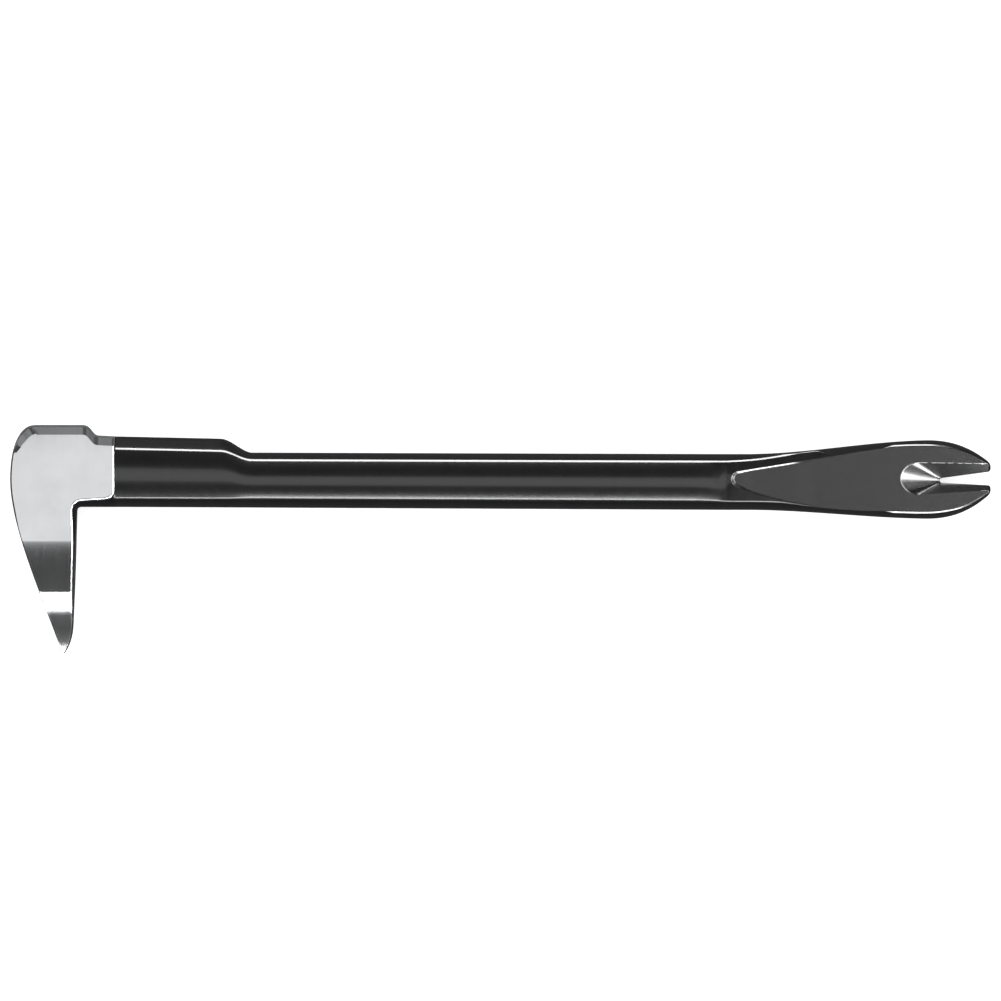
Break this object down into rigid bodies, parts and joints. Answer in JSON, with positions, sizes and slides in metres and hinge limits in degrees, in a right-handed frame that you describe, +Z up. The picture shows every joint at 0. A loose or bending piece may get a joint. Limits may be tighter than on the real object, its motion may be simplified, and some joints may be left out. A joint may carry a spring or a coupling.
{
  "type": "nail-pulling pry bar",
  "caption": "Short one-piece forged pry bar: L-shaped claw head with a striking face, bevelled straight shank with a raised neck, and a flared blade with a countersunk V notch for nails.",
  "frame": {"origin": "centre of the bounding box at its base, on the plane of the ground cheek that the bar lies on", "axes": "+X along the bar from the claw head to the notched blade, +Y from the claw's tip towards the striking face, +Z up through the thickness of the bar"},
  "size_m": [0.28, 0.0652, 0.017],
  "materials": {
    "ground_steel": "bare forged steel, ground and satin polished, smooth to the touch",
    "black_coating": "semi-gloss black coating over forged steel, thin at the edges"
  },
  "bodies": {
    "root": {"claw_head": "ground_steel", "shank": "black_coating", "notched_blade": "black_coating"}
  },
  "joints": []
}
